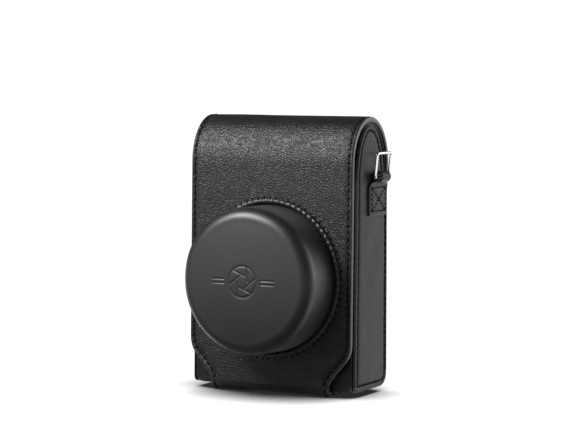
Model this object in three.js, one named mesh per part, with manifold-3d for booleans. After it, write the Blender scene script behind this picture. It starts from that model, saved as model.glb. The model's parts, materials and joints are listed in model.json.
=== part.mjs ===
// Leather ever-ready case for a compact camera, standing upright.
// Millimetres, +Z up, front towards -Y. The origin is the centre of the footprint, on the surface
// that the case stands on. Inside this file the parts are drawn in "case" coordinates, where y = 0
// is the outer face of the back and the front is negative; the last group moves them into place.

import * as THREE from 'three';
import { mergeVertices } from 'three/addons/utils/BufferGeometryUtils.js';
import Module from 'manifold-3d';

const wasm = await Module();
wasm.setup();

// ---------------------------------------------------------------- driving dimensions

const HEIGHT = 126;              // floor to the top of the flap's arch
const WIDTH = 83.8;              // over the two gussets
const FLAP_WIDTH = 83;           // over the flap's side edges
const DEPTH = 36.7;              // outer face of the back to outer face of the flap's front, at the bottom
const LEAN = 2.3;                // how far the front leans back between the bottom and the arch
const CUP_PROJECTION = 25;       // front of the lens cup beyond the flap's front
const BELT_LOOP_RISE = 7.8;      // belt loop's outer face beyond the back

const ARCH_Z = 104.5;            // widest level of the flap's arched top
const ARCH_BULGE = 2.5;          // how far the arch stands out behind the back, at that level
const GAP = 0.3;                 // clearance between touching layers

const LEATHER = 1.2;             // outer leather
const BOARD = 0.7;               // stiffener
const LINING = 0.5;              // inner lining
const GUSSET_LEATHER = 1;
const BOARD_INSET = 2.8;         // the flap's stiffeners stop short of its seams

const HINGE_Z = 97;              // line where the back's leather bends to open the flap
const HINGE_HALF = 1.8;

const BASE_Z = 2.8;              // underside of the base, on top of the tongue
const BACK_CORNER = 4;           // rounding between the back and the base
const FRAME_FRONT = 32.9;        // outer face of the front lip, measured forward from the back
const FRAME_WIDTH = 80.6;
const FRAME_BOTTOM = 3.4;
const FRAME_CORNER = 5;          // rounding of the lip's bottom corners and the base's front corners
const LIP_TOP = 20;
const RAIL_WIDTH = 5.5;
const RAIL_TOP = 97;

const GUSSET_FRONT = 31.5;
const GUSSET_ARCH_BACK = 3.6;
const GUSSET_ARCH_Z = 96;        // spring line of the gusset's own arch
const GUSSET_TOP = 122.3;
const GUSSET_BOTTOM = 4.3;
const INNER_INSET = 1.6;         // gusset board and lining stop short of the leather's edge

const CUT_TOP = 26;              // where the flap's side starts to turn in
const CUT_BEND = 21.5;
const CUT_SHOULDER = 18;
const CUT_IN = 2.2;              // how far in the side has turned at the shoulder
const HEEL_TOP = 10.4;           // end of the diagonal, where the neck starts
const HEEL_BEND = 6.4;
const HEEL_END = 3.5;
const HEEL_OUT = 2.6;
const CUT_SLANT = 0.6;           // the cutaway rises by this share when it is drawn further in

const FOLD_RADIUS = 5;           // where the flap turns under the base
const TONGUE_HALF = 31.6;
const TONGUE_LEATHER = 1.2;
const TONGUE_LINING = 0.8;
const TONGUE_TIP = 13;           // distance of the tongue's tip from the back

const CUP_Z = 52.7;              // height of the lens axis
const CUP_BASE_R = 33.3;
const CUP_FRONT_R = 33.1;
const CUP_EDGE = 6;              // rounding of the cup's front edge
const CUP_WALL = 1.5;
const CUP_DOME = 1;              // how far the cup's face rises to its centre
const CUP_FLANGE_R = 37;
const RIM_R = 36.2;              // outer radius of the stitched welt round the cup
const RIM_WIDTH = 2.2;
const RIM_RISE = 1.4;

const TAB_BACK = 2.8;            // rear edge of the side tab, from the back
const TAB_WIDTH = 17.2;
const TAB_BOTTOM = 81.3;
const TAB_TOP = 94.7;
const TAB_THICK = 1;
const LOOP_WIDTH = 8.6;
const LOOP_R = 2.6;              // rounded end of the leather loop
const LOOP_HOLE_R = 1.3;
const RING_Z = 98.8;             // axis of the strap ring's lower bar
const RING_OUT = 44.8;           // its distance from the middle plane
const RING_HALF = 6.9;           // half the distance between the ring's side bars
const RING_TALL = 10.8;          // lower bar to upper bar
const RING_WIRE = 0.6;           // radius
const RING_TILT = 6;             // degrees that the ring leans outwards at rest

const SNAP_Y = 20.5;             // press stud's distance from the back
const SNAP_HOLE_R = 1.7;
const STITCH = 0.6;              // width of a seam's thread
const STITCH_RISE = 0.3;
const SEAM = 2.8;                // gusset seam's distance from its edge
const FLAP_SEAM = 1.9;
const SEAM_CLEAR = 4;            // the back's seam ends this far below the hinge

const SEGMENTS = 48;             // steps round the lens cup
const ARC_STEPS = 20;            // steps over the arched top

const ringDepth = TAB_BACK + TAB_WIDTH / 2;
const gussetOuter = WIDTH / 2;

// ---------------------------------------------------------------- materials

function paint(color, roughness, metalness = 0) {
  return () => new THREE.MeshStandardMaterial({ color, roughness, metalness });
}

const grainLeather = paint(0x1d1d1f, 0.5);
const smoothLeather = paint(0x242426, 0.45);
const lining = paint(0x2b2a2c, 0.85);
const board = paint(0x8c8478, 0.9);
const thread = paint(0x101012, 0.7);
const steel = paint(0xd5d5d8, 0.2, 1);
const nickel = paint(0xb9b9bc, 0.3, 1);

// ---------------------------------------------------------------- solid helpers

function toSolid(geometry) {
  const bare = geometry.clone();
  bare.deleteAttribute('normal');
  bare.deleteAttribute('uv');
  const merged = mergeVertices(bare, 1e-4);
  return new wasm.Manifold(new wasm.Mesh({
    numProp: 3,
    vertProperties: new Float32Array(merged.attributes.position.array),
    triVerts: new Uint32Array(merged.index.array),
  }));
}

function toGeometry(solid) {
  const mesh = solid.getMesh();
  const geometry = new THREE.BufferGeometry();
  geometry.setAttribute('position', new THREE.BufferAttribute(mesh.vertProperties, 3));
  geometry.setIndex(new THREE.BufferAttribute(mesh.triVerts, 1));
  geometry.computeVertexNormals();
  return geometry;
}

function union(solids) {
  return solids.reduce((sum, solid) => sum.add(solid));
}

// A Shape from [a, b] points, with any holes given the same way.
function shapeOf(points, holes = []) {
  const shape = new THREE.Shape(points.map(([a, b]) => new THREE.Vector2(a, b)));
  shape.holes = holes.map((hole) => new THREE.Path(hole.map(([a, b]) => new THREE.Vector2(a, b))));
  return shape;
}

// Extrude a side-view outline, points [y, z], from x0 to x1.
function sideExtrude(points, x0, x1, holes) {
  const geometry = new THREE.ExtrudeGeometry(shapeOf(points, holes), { depth: x1 - x0, bevelEnabled: false });
  const basis = new THREE.Matrix4().makeBasis(
    new THREE.Vector3(0, 1, 0), new THREE.Vector3(0, 0, 1), new THREE.Vector3(1, 0, 0));
  return toSolid(geometry.applyMatrix4(basis.setPosition(x0, 0, 0)));
}

// Extrude a front-view outline, points [x, z], from y0 back to y1 (y0 < y1).
function frontExtrude(points, y0, y1, holes) {
  const geometry = new THREE.ExtrudeGeometry(shapeOf(points, holes), { depth: y1 - y0, bevelEnabled: false });
  const basis = new THREE.Matrix4().makeBasis(
    new THREE.Vector3(1, 0, 0), new THREE.Vector3(0, 0, 1), new THREE.Vector3(0, -1, 0));
  return toSolid(geometry.applyMatrix4(basis.setPosition(0, y1, 0)));
}

// Extrude a plan outline, points [x, y], from z0 up to z1.
function planExtrude(points, z0, z1, holes) {
  const geometry = new THREE.ExtrudeGeometry(shapeOf(points, holes), { depth: z1 - z0, bevelEnabled: false });
  return toSolid(geometry.translate(0, 0, z0));
}

function block(x0, x1, y0, y1, z0, z1) {
  return planExtrude([[x0, y0], [x1, y0], [x1, y1], [x0, y1]], z0, z1);
}

// Turn a closed profile, points [radius, forward], about the lens axis.
// "forward" is measured towards the front from the outer face of the back.
function turnAboutLensAxis(profile) {
  const points = profile.map(([r, forward]) => new THREE.Vector2(r, forward));
  const geometry = new THREE.LatheGeometry(points, SEGMENTS);
  const basis = new THREE.Matrix4().makeBasis(
    new THREE.Vector3(1, 0, 0), new THREE.Vector3(0, -1, 0), new THREE.Vector3(0, 0, -1));
  return solidFacingOut(weldedFaces(geometry.applyMatrix4(basis.setPosition(0, 0, CUP_Z))));
}

// Turn a closed profile, points [radius, z], about a vertical axis through the press stud.
function turnAboutSnap(profile) {
  const points = profile.map(([r, z]) => new THREE.Vector2(r, z));
  const geometry = new THREE.LatheGeometry(points, 28).rotateX(Math.PI / 2);
  return solidFacingOut(weldedFaces(geometry.translate(0, -SNAP_Y, 0)));
}

// Lathe profiles may run either way round, so the faces are flipped when the volume is negative.
function weldedFaces(geometry) {
  const bare = geometry.clone();
  bare.deleteAttribute('normal');
  bare.deleteAttribute('uv');
  const merged = mergeVertices(bare, 1e-4);
  const index = Array.from(merged.index.array);
  const kept = [];
  for (let i = 0; i < index.length; i += 3) {
    const [a, b, c] = index.slice(i, i + 3);
    if (a !== b && b !== c && c !== a) {
      kept.push(a, b, c);
    }
  }
  return { position: merged.attributes.position.array, index: kept };
}

function solidFacingOut({ position, index }) {
  const corner = (i) => new THREE.Vector3().fromArray(position, 3 * i);
  let volume = 0;
  for (let i = 0; i < index.length; i += 3) {
    volume += corner(index[i]).dot(corner(index[i + 1]).cross(corner(index[i + 2])));
  }
  const ordered = [...index];
  if (volume < 0) {
    ordered.reverse();
  }
  return new wasm.Manifold(new wasm.Mesh({
    numProp: 3,
    vertProperties: new Float32Array(position),
    triVerts: new Uint32Array(ordered),
  }));
}

// Points of an arc, from angle a0 to a1 in degrees.
function arc(cx, cy, rx, ry, a0, a1, steps) {
  const points = [];
  for (let i = 0; i <= steps; i += 1) {
    const angle = THREE.MathUtils.degToRad(a0 + ((a1 - a0) * i) / steps);
    points.push([cx + rx * Math.cos(angle), cy + ry * Math.sin(angle)]);
  }
  return points;
}

// A lathe profile that stays off the axis ends where it starts.
function loop(profile) {
  return [...profile, profile[0]];
}

// A rectangle, the same on both sides of the middle, with its two corners at "low" rounded.
function roundedAtLow(half, low, high, radius) {
  const right = arc(half - radius, low + radius, radius, radius, 270, 360, 6);
  return [...right, [half, high], [-half, high], ...mirrored(right)];
}

function mirrored(points) {
  return points.map(([a, b]) => [-a, b]).reverse();
}

// ---------------------------------------------------------------- the flap

// Side view of the flap at a depth below its outer face: up the back, over the arch, down the front.
function flapLine(inset, backZ, frontZ) {
  const back = Math.asin((backZ - ARCH_Z) / (HEIGHT - ARCH_Z - inset));
  return [...archLine(inset, THREE.MathUtils.radToDeg(back), 180), [-DEPTH + inset, frontZ]];
}

// The flap's arch between two angles, 0 at its widest point behind the back and 180 at the front.
function archLine(inset, from, to) {
  const half = (DEPTH + ARCH_BULGE) / 2;
  return arc(half - DEPTH, ARCH_Z, half - inset, HEIGHT - ARCH_Z - inset, from, to, ARC_STEPS);
}

function flapBand(outer, inner, backZ, frontZ) {
  return [...flapLine(outer, backZ, frontZ), ...flapLine(inner, backZ, frontZ).reverse()];
}

// Front view of the flap's right half, drawn inwards from its edge by "inset":
// straight side, diagonal cutaway, then the narrow neck that becomes the tongue.
function flapSide(inset, top, bottom) {
  const side = FLAP_WIDTH / 2 - inset;
  const neck = TONGUE_HALF - inset;
  const at = (x, z) => new THREE.Vector2(x, z + inset * CUT_SLANT);
  const shoulder = new THREE.QuadraticBezierCurve(
    at(side, CUT_TOP), at(side, CUT_BEND), at(side - CUT_IN, CUT_SHOULDER));
  const heel = new THREE.QuadraticBezierCurve(
    at(neck + HEEL_OUT, HEEL_TOP), at(neck, HEEL_BEND), at(neck, HEEL_END));
  const curve = [...shoulder.getPoints(5), ...heel.getPoints(5)].map((p) => [p.x, p.y]);
  return [[side, top], ...curve.filter(([, z]) => z > bottom + 0.2), [neck, bottom]];
}

function flapOutline(inset, top, bottom) {
  const right = flapSide(inset, top, bottom);
  return [...right, ...mirrored(right)];
}

const flapBottom = FOLD_RADIUS + GAP;
const flapBackZ = HINGE_Z + HINGE_HALF + 0.2;
const boardIn = LEATHER + GAP;
const liningIn = boardIn + BOARD + GAP;
const flapInner = liningIn + LINING;

function flapSheet(outer, inner, inset, bottom, holeRadius) {
  const sheet = sideExtrude(flapBand(outer, inner, flapBackZ, bottom), -WIDTH, WIDTH);
  const outline = frontExtrude(flapOutline(inset, HEIGHT + 5, bottom - 1), -DEPTH - 5, 5);
  const circle = arc(0, CUP_Z, holeRadius, holeRadius, 0, 360, SEGMENTS).slice(1);
  const hole = frontExtrude(circle, -DEPTH - 5, -DEPTH + 8);
  return sheet.intersect(outline).subtract(hole);
}

function flapLeather() {
  return flapSheet(0, LEATHER, 0, flapBottom, CUP_BASE_R + GAP);
}

// Stiffener of the flap's front, from above the diagonal cutaways to the shoulder.
function flapBoard() {
  const outer = -DEPTH + boardIn;
  const half = FLAP_WIDTH / 2 - BOARD_INSET;
  const sheet = block(-half, half, outer, outer + BOARD, 28, ARCH_Z);
  const hole = arc(0, CUP_Z, CUP_FLANGE_R + GAP, CUP_FLANGE_R + GAP, 0, 360, SEGMENTS).slice(1);
  return sheet.subtract(frontExtrude(hole, outer - 5, outer + 5));
}

// Stiffener of the arched top.
function archBoard() {
  const band = [...archLine(boardIn, 6, 174), ...archLine(boardIn + BOARD, 6, 174).reverse()];
  const half = FLAP_WIDTH / 2 - BOARD_INSET;
  return sideExtrude(band, -half, half);
}

function flapLining() {
  return flapSheet(liningIn, flapInner, 0.8, flapBottom + 3, CUP_BASE_R - CUP_WALL);
}

// Bending strip of leather between the back and the flap.
function hingeFold() {
  const z0 = HINGE_Z - HINGE_HALF;
  const z1 = HINGE_Z + HINGE_HALF - 0.1;
  const top = flapLine(0, flapBackZ, 0)[0][0];
  const outline = [[-LEATHER, z0], [0, z0], [top, z1], [top - LEATHER, z1]];
  return sideExtrude(outline, -FLAP_WIDTH / 2, FLAP_WIDTH / 2);
}

// ---------------------------------------------------------------- the lens cup

// Outside of the cup from its base to the middle of its face, "grow" mm outside the leather.
function cupOutside(grow, turnSteps = 6) {
  const tip = DEPTH + CUP_PROJECTION;
  const edgeTop = tip - CUP_DOME;
  const front = CUP_FRONT_R - CUP_EDGE;
  const turn = arc(front, edgeTop - CUP_EDGE, CUP_EDGE + grow, CUP_EDGE + grow, 0, 80, turnSteps);
  const dome = [0.5].map((part) => [front * part, edgeTop + grow + CUP_DOME * (1 - part * part)]);
  return [[CUP_BASE_R + grow, DEPTH], ...turn, ...dome, [0, tip + grow]];
}

function lensCup() {
  const flangeFront = DEPTH - boardIn;
  const flangeBack = flangeFront - BOARD;
  return turnAboutLensAxis([
    ...cupOutside(-CUP_WALL, 4).reverse(),
    [CUP_BASE_R - CUP_WALL, flangeBack],
    [CUP_FLANGE_R, flangeBack],
    [CUP_FLANGE_R, flangeFront],
    [CUP_BASE_R, flangeFront],
    ...cupOutside(0),
  ]);
}

function lensCupLining() {
  const back = DEPTH - flapInner;
  const outer = -CUP_WALL - GAP;
  return turnAboutLensAxis([
    ...cupOutside(outer - LINING, 4).reverse(),
    [CUP_BASE_R + outer - LINING, back],
    [CUP_BASE_R + outer, back],
    ...cupOutside(outer, 4),
  ]);
}

// Raised welt sewn round the foot of the cup.
function cupRim() {
  const foot = DEPTH + GAP;
  const inner = RIM_R - RIM_WIDTH;
  const crown = arc(RIM_R - RIM_WIDTH / 2, foot + 0.3, RIM_WIDTH / 2, RIM_RISE - 0.3, 0, 180, 6);
  return turnAboutLensAxis(loop([[inner, foot], [RIM_R, foot], ...crown]));
}

// ---------------------------------------------------------------- the tongue and its press stud

const foldBack = DEPTH - FOLD_RADIUS;
const tongueStack = TONGUE_LEATHER + GAP + TONGUE_LINING;
const tongueFront = foldBack - GAP;

// Bending leather where the flap turns under the base.
function tongueFold() {
  const outer = arc(-foldBack, FOLD_RADIUS, FOLD_RADIUS, FOLD_RADIUS, 180, 270, 8);
  const innerRadius = FOLD_RADIUS - tongueStack;
  const inner = arc(-foldBack, FOLD_RADIUS, innerRadius, innerRadius, 270, 180, 8);
  return sideExtrude([...outer, ...inner], -TONGUE_HALF, TONGUE_HALF);
}

function tongueOutline(inset) {
  const half = TONGUE_HALF - inset;
  const tip = -TONGUE_TIP - inset;
  const corner = 7;
  const right = arc(half - corner, tip - corner, corner, corner, 0, 90, 6);
  return [[-half, -tongueFront], [half, -tongueFront], ...right, ...mirrored(right)];
}

function circleAtSnap(radius) {
  return arc(0, -SNAP_Y, radius, radius, 0, 360, 28).slice(1);
}

function tongueLeather() {
  return planExtrude(tongueOutline(0), 0, TONGUE_LEATHER, [circleAtSnap(5.5)]);
}

function tongueLining() {
  const z0 = TONGUE_LEATHER + GAP;
  return planExtrude(tongueOutline(0.6), z0, z0 + TONGUE_LINING, [circleAtSnap(5.3)]);
}

function snapCap() {
  return turnAboutSnap([[0, 0.25], [4.8, 0.25], [5.15, 0.4], [5.15, 0.65], [0, 0.65]]);
}

function snapSocket() {
  return turnAboutSnap(loop([[2.8, 0.95], [5, 0.95], [5, 2], [3.4, 2.2], [2.8, 2]]));
}

function snapStud() {
  return turnAboutSnap([
    [0, 1.05], [1.7, 1.05], [2.2, 1.45], [1.3, 2.1], [1.3, 4.3], [4, 4.3], [4, 4.9], [0, 4.9],
  ]);
}

// ---------------------------------------------------------------- the body

function backPanel() {
  return block(-gussetOuter, gussetOuter, -LEATHER, 0,
    BASE_Z + BACK_CORNER + GAP, HINGE_Z - HINGE_HALF - GAP);
}

// The base's leather turns up round the bottom of the back.
function basePanel() {
  const cz = BASE_Z + BACK_CORNER;
  const inner = BACK_CORNER - LEATHER;
  const outline = [
    [-FRAME_FRONT + 1.5, BASE_Z],
    ...arc(-BACK_CORNER, cz, BACK_CORNER, BACK_CORNER, 270, 360, 6),
    ...arc(-BACK_CORNER, cz, inner, inner, 360, 270, 6),
    [-FRAME_FRONT + 1.5, BASE_Z + LEATHER],
  ];
  const plan = planExtrude(
    roundedAtLow(gussetOuter, -FRAME_FRONT, GAP, FRAME_CORNER), 0, cz + GAP, [circleAtSnap(SNAP_HOLE_R)]);
  return sideExtrude(outline, -gussetOuter, gussetOuter).intersect(plan);
}

const insideHalf = gussetOuter - GUSSET_LEATHER - GAP - BOARD - GAP;   // outer face of the gusset lining
const roomHalf = insideHalf - LINING - GAP;                            // edge of the other linings

function backBoard() {
  return block(-roomHalf, roomHalf, -boardIn - BOARD, -boardIn, 9, 90);
}

function backLining() {
  return block(-roomHalf, roomHalf, -liningIn - LINING, -liningIn, 6.2, 91);
}

function baseBoard() {
  const z0 = BASE_Z + LEATHER + GAP;
  const outline = [[-roomHalf, -30.6], [roomHalf, -30.6], [roomHalf, -5], [-roomHalf, -5]];
  return planExtrude(outline, z0, z0 + BOARD, [circleAtSnap(5)]);
}

function baseLining() {
  const z0 = BASE_Z + liningIn;
  return block(-roomHalf, roomHalf, -30.4, -flapInner - GAP, z0, z0 + LINING);
}

// Low front wall that the flap closes over.
function frontLip() {
  const outline = roundedAtLow(FRAME_WIDTH / 2, FRAME_BOTTOM, LIP_TOP, FRAME_CORNER);
  return frontExtrude(outline, -FRAME_FRONT, -FRAME_FRONT + LEATHER);
}

function frontLipLining() {
  const front = -FRAME_FRONT + LEATHER + GAP;
  return block(-roomHalf, roomHalf, front, front + LINING, 6.2, LIP_TOP - 0.3);
}

// Narrow upright at each side of the front opening.
function frontRail(side) {
  const outer = FRAME_WIDTH / 2;
  const x = [side * outer, side * (outer - RAIL_WIDTH)].sort((a, b) => a - b);
  return block(x[0], x[1], -FRAME_FRONT, -FRAME_FRONT + LEATHER, LIP_TOP + GAP, RAIL_TOP);
}

// Side view of a gusset, drawn inwards from its edge by "inset".
function gussetOutline(inset) {
  const front = -GUSSET_FRONT + inset;
  const archBack = -GUSSET_ARCH_BACK - inset;
  const back = -LEATHER - GAP - inset;
  const bottom = GUSSET_BOTTOM + inset;
  const corner = Math.max(BACK_CORNER - LEATHER - GAP - inset, 0.8);
  const mid = (front + archBack) / 2;
  return [
    [front, bottom],
    ...arc(back - corner, bottom + corner, corner, corner, 270, 360, 5),
    [back, GUSSET_ARCH_Z - 4.5 - inset * 0.5],
    [archBack, GUSSET_ARCH_Z - 1 - inset * 0.5],
    ...arc(mid, GUSSET_ARCH_Z, (archBack - front) / 2, GUSSET_TOP - GUSSET_ARCH_Z - inset, 0, 180, ARC_STEPS),
  ];
}

// A flat layer of the gusset between two distances from the middle plane.
function gussetLayer(side, inner, outer, inset, holeInset) {
  const x = [side * inner, side * outer].sort((a, b) => a - b);
  const holes = holeInset ? [gussetOutline(holeInset)] : [];
  return sideExtrude(gussetOutline(inset), x[0], x[1], holes);
}

// Thread round a gusset, broken where the strap tab covers the seam.
function gussetThread(side) {
  const inner = gussetOuter + GAP;
  const seam = gussetLayer(side, inner, inner + STITCH_RISE, SEAM - STITCH / 2, SEAM + STITCH / 2);
  const tab = block(-WIDTH, WIDTH, -ringDepth, 0, TAB_BOTTOM - GAP, RING_Z + LOOP_R + GAP);
  return seam.subtract(tab);
}

// ---------------------------------------------------------------- strap tabs and rings

// Strip of leather doubled round the ring's lower bar and sewn flat on the gusset.
function ringTab(side) {
  const inner = gussetOuter + GAP;
  const patch = block(inner, inner + TAB_THICK, -TAB_BACK - TAB_WIDTH, -TAB_BACK, TAB_BOTTOM, TAB_TOP);
  const outline = [
    [inner, TAB_TOP - 1],
    [inner + TAB_THICK, TAB_TOP - 1],
    ...arc(RING_OUT, RING_Z, LOOP_R, LOOP_R, -40, 180, 14),
    [inner, RING_Z - 1],
  ];
  const hole = arc(RING_OUT, RING_Z, LOOP_HOLE_R, LOOP_HOLE_R, 0, 360, 14).slice(1);
  const eye = frontExtrude(outline, -ringDepth - LOOP_WIDTH / 2, -ringDepth + LOOP_WIDTH / 2, [hole]);
  return mirrorTo(side, patch.add(eye));
}

// Box stitch with a cross, on the tab.
function tabThread(side) {
  const x0 = gussetOuter + GAP + TAB_THICK + GAP;
  const x1 = x0 + STITCH_RISE;
  const [y0, y1] = [-TAB_BACK - TAB_WIDTH + FLAP_SEAM, -TAB_BACK - FLAP_SEAM];
  const [z0, z1] = [TAB_BOTTOM + FLAP_SEAM, TAB_TOP - 1.4];
  const strip = (ya, za, yb, zb) => {
    const along = new THREE.Vector2(yb - ya, zb - za).normalize();
    const [ny, nz] = [-along.y * STITCH / 2, along.x * STITCH / 2];
    const [ey, ez] = [along.x * STITCH / 2, along.y * STITCH / 2];
    return sideExtrude([
      [ya - ny - ey, za - nz - ez], [yb - ny + ey, zb - nz + ez],
      [yb + ny + ey, zb + nz + ez], [ya + ny - ey, za + nz - ez],
    ], x0, x1);
  };
  return mirrorTo(side, union([
    strip(y0, z0, y1, z0),
    strip(y1, z0, y1, z1),
    strip(y0, z1, y1, z1),
    strip(y0, z0, y0, z1),
    strip(y0, z0, y1, z1),
    strip(y1, z0, y0, z1),
  ]));
}

function mirrorTo(side, solid) {
  return side > 0 ? solid : solid.mirror([1, 0, 0]);
}

function rod(from, to) {
  const [a, b] = [new THREE.Vector3(...from), new THREE.Vector3(...to)];
  const geometry = new THREE.CylinderGeometry(RING_WIRE, RING_WIRE, a.distanceTo(b), 10);
  const turn = new THREE.Quaternion().setFromUnitVectors(
    new THREE.Vector3(0, 1, 0), b.clone().sub(a).normalize());
  geometry.applyQuaternion(turn);
  const middle = a.add(b).multiplyScalar(0.5);
  return toSolid(geometry.translate(middle.x, middle.y, middle.z));
}

function ball(at) {
  return toSolid(new THREE.SphereGeometry(RING_WIRE * 1.02, 10, 6).translate(...at));
}

// Rectangular wire ring, leaning slightly outwards from its lower bar.
function strapRing(side) {
  const tilt = THREE.MathUtils.degToRad(RING_TILT);
  const top = [RING_OUT + RING_TALL * Math.sin(tilt), RING_Z + RING_TALL * Math.cos(tilt)];
  const corners = [
    [RING_OUT, -ringDepth - RING_HALF, RING_Z],
    [RING_OUT, -ringDepth + RING_HALF, RING_Z],
    [top[0], -ringDepth + RING_HALF, top[1]],
    [top[0], -ringDepth - RING_HALF, top[1]],
  ];
  const bars = corners.map((corner, i) => rod(corner, corners[(i + 1) % 4]));
  return mirrorTo(side, union([...bars, ...corners.map(ball)]));
}

// ---------------------------------------------------------------- belt loop

const BELT_HALF = 16;
const BELT_LOW = 20;
const BELT_HIGH = 76;
const BELT_FOOT = 9;             // length sewn to the back at each end
const BELT_THICK = 1.8;

// Strap sewn flat at both ends and standing off the back between them.
function beltLoop() {
  const y0 = GAP;
  const outside = [
    [y0, BELT_LOW], [y0 + BELT_THICK, BELT_LOW], [y0 + BELT_THICK, BELT_LOW + BELT_FOOT],
    [BELT_LOOP_RISE, BELT_LOW + BELT_FOOT + 5], [BELT_LOOP_RISE, BELT_HIGH - BELT_FOOT - 5],
    [y0 + BELT_THICK, BELT_HIGH - BELT_FOOT], [y0 + BELT_THICK, BELT_HIGH], [y0, BELT_HIGH],
    [y0, BELT_HIGH - BELT_FOOT - 1],
    [BELT_LOOP_RISE - BELT_THICK, BELT_HIGH - BELT_FOOT - 6],
    [BELT_LOOP_RISE - BELT_THICK, BELT_LOW + BELT_FOOT + 6],
    [y0, BELT_LOW + BELT_FOOT + 1],
  ];
  return sideExtrude(outside, -BELT_HALF, BELT_HALF);
}

function beltThread(z0, z1) {
  const y0 = GAP + BELT_THICK + GAP;
  const [a, b] = [BELT_HALF - 2, BELT_HALF - 2 - STITCH];
  const outer = [[-a, z0], [a, z0], [a, z1], [-a, z1]];
  const inner = [[-b, z0 + STITCH], [b, z0 + STITCH], [b, z1 - STITCH], [-b, z1 - STITCH]];
  return frontExtrude(outer, y0, y0 + STITCH_RISE, [inner]);
}

// ---------------------------------------------------------------- seams on the flap and the back

// Thread along one side of the flap, from the hinge over the arch to the neck.
function flapThread(side) {
  const rise = GAP + STITCH_RISE;
  const band = sideExtrude(flapBand(-rise, -GAP, flapBackZ, flapBottom + 2), -WIDTH, WIDTH);
  const outer = flapSide(FLAP_SEAM - STITCH / 2, HEIGHT + 5, flapBottom);
  const inner = flapSide(FLAP_SEAM + STITCH / 2, HEIGHT + 5, flapBottom);
  const path = frontExtrude([...outer, ...inner.reverse()], -DEPTH - 5, 5);
  return mirrorTo(side, band.intersect(path));
}

// Thread round the foot of the cup, just outside its welt.
function cupThread() {
  const r = RIM_R + 0.5;
  const foot = DEPTH + GAP;
  return turnAboutLensAxis(loop([
    [r, foot], [r + STITCH, foot], [r + STITCH, foot + STITCH_RISE], [r, foot + STITCH_RISE]]));
}

// Thread down one side of the back.
function backThread(side) {
  const outer = gussetOuter - FLAP_SEAM;
  const x = [side * outer, side * (outer - STITCH)].sort((a, b) => a - b);
  return block(x[0], x[1], GAP, GAP + STITCH_RISE, 8, HINGE_Z - HINGE_HALF - SEAM_CLEAR);
}

// ---------------------------------------------------------------- assembly

// Lean a piece with the front of the case: the back stays upright, the front's top moves back by
// LEAN, and what stands out in front points up by the same angle.
function leaned(geometry) {
  const slope = LEAN / (ARCH_Z - flapBottom);
  const position = geometry.attributes.position;
  for (let i = 0; i < position.count; i += 1) {
    const [y, z] = [position.getY(i), position.getZ(i)];
    const share = THREE.MathUtils.clamp(-y / DEPTH, 0, 1);
    const climb = THREE.MathUtils.clamp(z - flapBottom, 0, ARCH_Z - flapBottom);
    position.setY(i, y + slope * share * climb);
    position.setZ(i, z + slope * Math.max(-DEPTH - y, 0));
  }
  return geometry;
}

const cupTipY = -DEPTH - CUP_PROJECTION + (LEAN * (CUP_Z - flapBottom)) / (ARCH_Z - flapBottom);
const caseGroup = new THREE.Group();
caseGroup.position.y = -(cupTipY + BELT_LOOP_RISE) / 2;

function addMesh(name, geometry, material) {
  const mesh = new THREE.Mesh(geometry, material());
  mesh.name = name;
  caseGroup.add(mesh);
}

function place(name, solid, material) {
  addMesh(name, leaned(toGeometry(solid)), material);
}

// For a piece on the side of the case, clear of the lean.
function placeUpright(name, solid, material) {
  addMesh(name, toGeometry(solid), material);
}

place('back_panel', backPanel(), smoothLeather);
place('back_board', backBoard(), board);
place('back_lining', backLining(), lining);
place('base_panel', basePanel(), smoothLeather);
place('base_board', baseBoard(), board);
place('base_lining', baseLining(), lining);
place('front_lip', frontLip(), smoothLeather);
place('front_lip_lining', frontLipLining(), lining);
place('snap_stud', snapStud(), nickel);
place('belt_loop', beltLoop(), smoothLeather);
place('belt_loop_thread_lower', beltThread(BELT_LOW + 1.5, BELT_LOW + BELT_FOOT - 1), thread);
place('belt_loop_thread_upper', beltThread(BELT_HIGH - BELT_FOOT + 1, BELT_HIGH - 1.5), thread);

for (const [name, side] of [['right', 1], ['left', -1]]) {
  const leatherIn = gussetOuter - GUSSET_LEATHER;
  const boardOut = leatherIn - GAP;
  place(`gusset_${name}`, gussetLayer(side, leatherIn, gussetOuter, 0), smoothLeather);
  place(`gusset_board_${name}`, gussetLayer(side, boardOut - BOARD, boardOut, INNER_INSET), board);
  place(`gusset_lining_${name}`, gussetLayer(side, insideHalf - LINING, insideHalf, INNER_INSET), lining);
  place(`gusset_thread_${name}`, gussetThread(side), thread);
  place(`front_rail_${name}`, frontRail(side), smoothLeather);
  place(`back_thread_${name}`, backThread(side), thread);
  placeUpright(`ring_tab_${name}`, ringTab(side), smoothLeather);
  placeUpright(`tab_thread_${name}`, tabThread(side), thread);
  placeUpright(`strap_ring_${name}`, strapRing(side), steel);
  place(`flap_thread_${name}`, flapThread(side), thread);
}

place('hinge_fold', hingeFold(), smoothLeather);
place('flap_leather', flapLeather(), grainLeather);
place('flap_board', flapBoard(), board);
place('arch_board', archBoard(), board);
place('flap_lining', flapLining(), lining);
place('lens_cup', lensCup(), smoothLeather);
place('lens_cup_lining', lensCupLining(), lining);
place('cup_rim', cupRim(), smoothLeather);
place('cup_thread', cupThread(), thread);

place('tongue_fold', tongueFold(), grainLeather);
place('tongue_leather', tongueLeather(), grainLeather);
place('tongue_lining', tongueLining(), lining);
place('snap_socket', snapSocket(), nickel);
place('snap_cap', snapCap(), nickel);

const group = new THREE.Group();
group.add(caseGroup);

export default group;
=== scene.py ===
"""Leather ever-ready case: the looks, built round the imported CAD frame.

Shapes are worked out in millimetres and scaled to metres when a mesh is made.
A sewn sheet is drawn flat in (u, v), then laid on its place with a height h above its outer face.
"""
import json
import math

import bmesh
import bpy
import numpy as np
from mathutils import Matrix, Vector
from mathutils.geometry import delaunay_2d_cdt


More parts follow.
